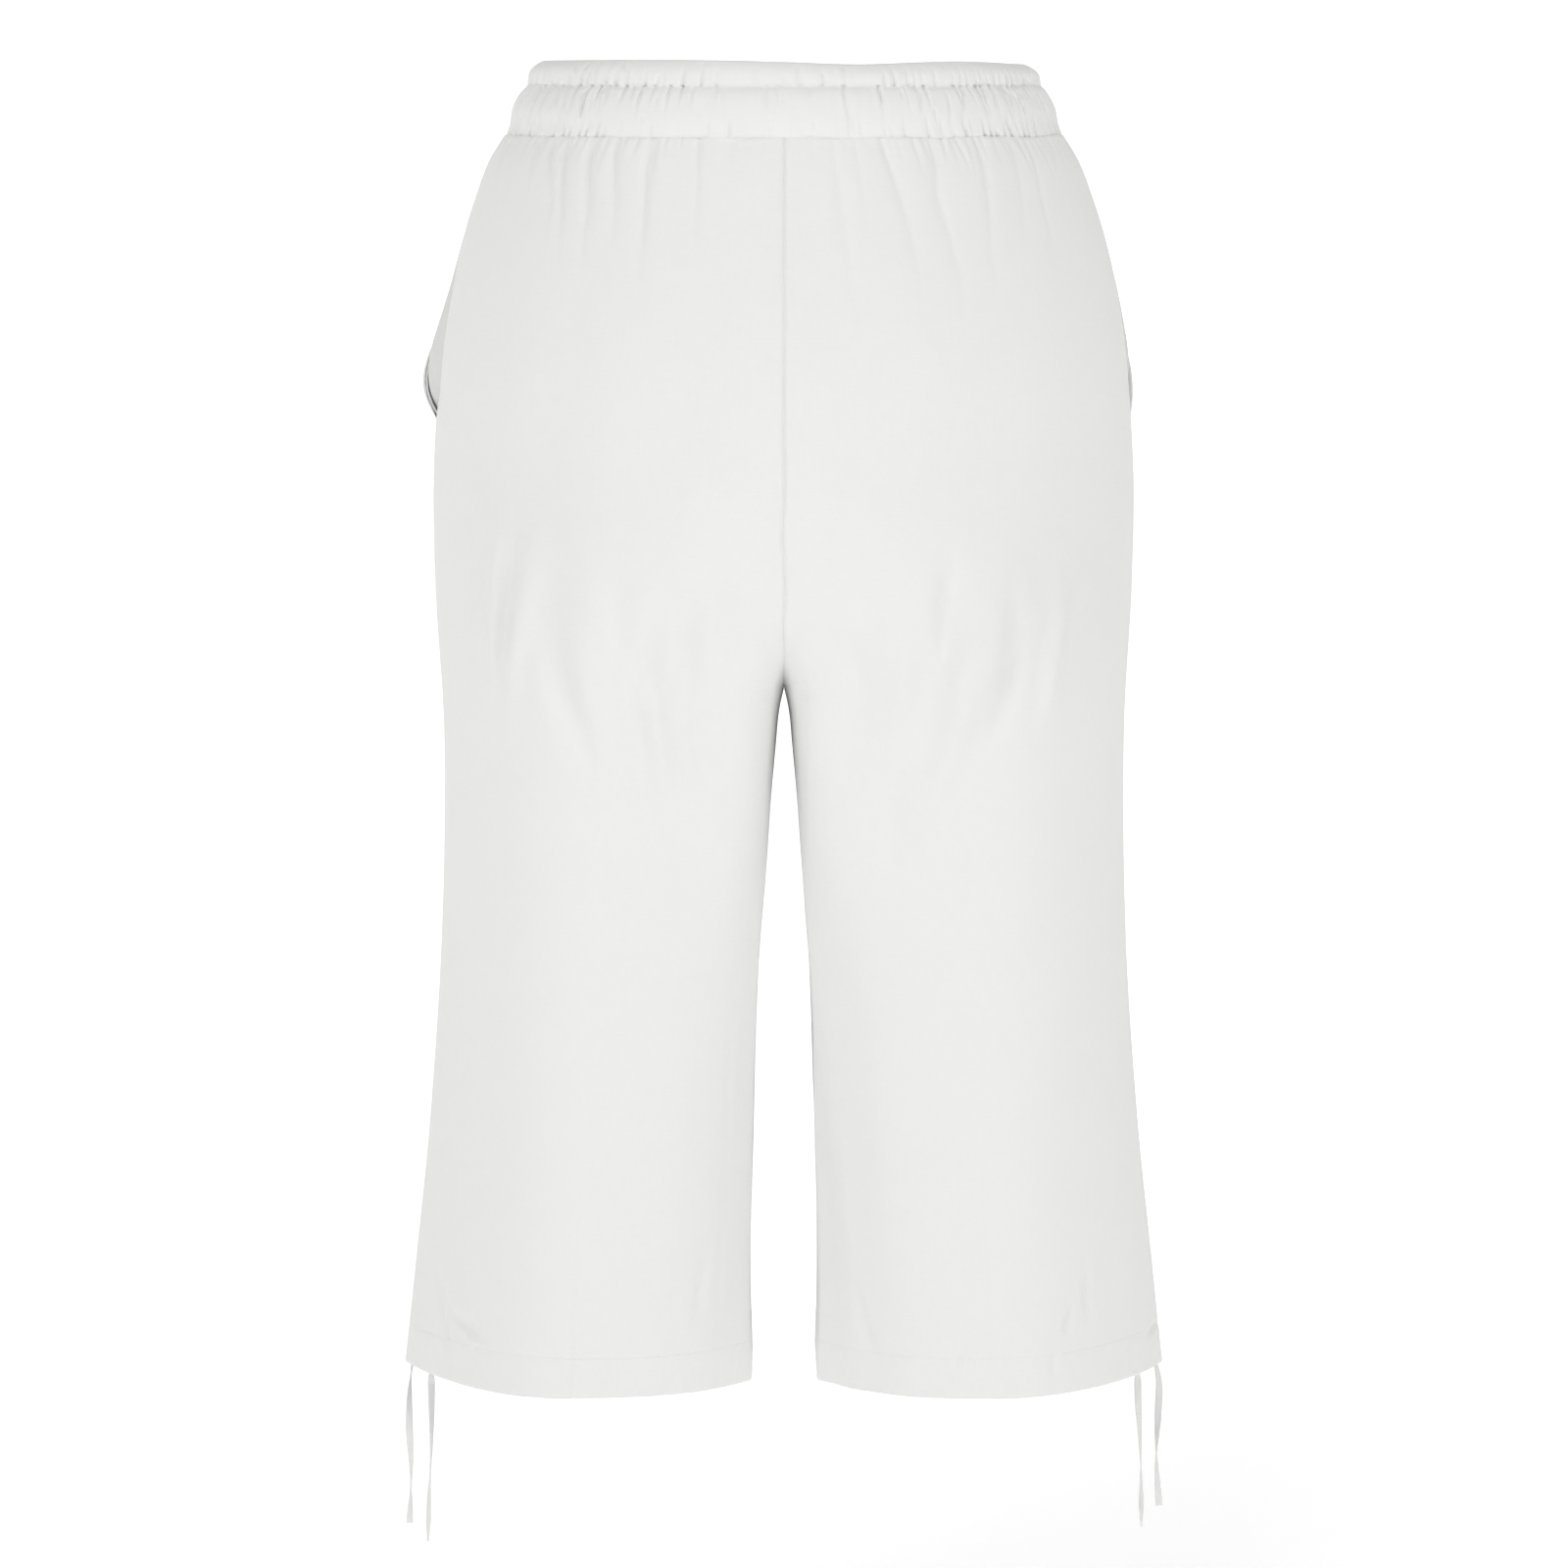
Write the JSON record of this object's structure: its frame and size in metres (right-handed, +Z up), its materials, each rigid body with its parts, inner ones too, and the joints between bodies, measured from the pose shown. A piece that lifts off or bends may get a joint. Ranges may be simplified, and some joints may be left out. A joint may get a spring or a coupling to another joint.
{
  "type": "capri pants",
  "caption": "Pull-on capri pants of plain white woven cloth, worn and hollow, with a gathered elastic waistband, slanted front pockets and narrow ties at the hems.",
  "frame": {"origin": "middle of the waist, half way up the elastic, where the wearer's waist holds the garment up", "axes": "+Z up along the garment, front towards -Y, the wearer's left towards +X"},
  "size_m": [0.4171, 0.2486, 0.8035],
  "materials": {
    "cloth": "matt plain weave, off-white",
    "pocket_cloth": "matt plain weave, off-white, a finer cloth",
    "tie_cloth": "matt folded strip of the same cloth"
  },
  "bodies": {
    "root": {"waistband": "cloth", "back_left": "cloth", "back_right": "cloth", "front_left": "cloth", "front_right": "cloth", "pocket_facing_left": "pocket_cloth", "pocket_facing_right": "pocket_cloth", "pocket_bag_left": "pocket_cloth", "pocket_bag_right": "pocket_cloth", "hem_tie_left_side": "tie_cloth", "hem_tie_left_rear": "tie_cloth", "hem_tie_right_side": "tie_cloth", "hem_tie_right_rear": "tie_cloth"}
  },
  "joints": []
}
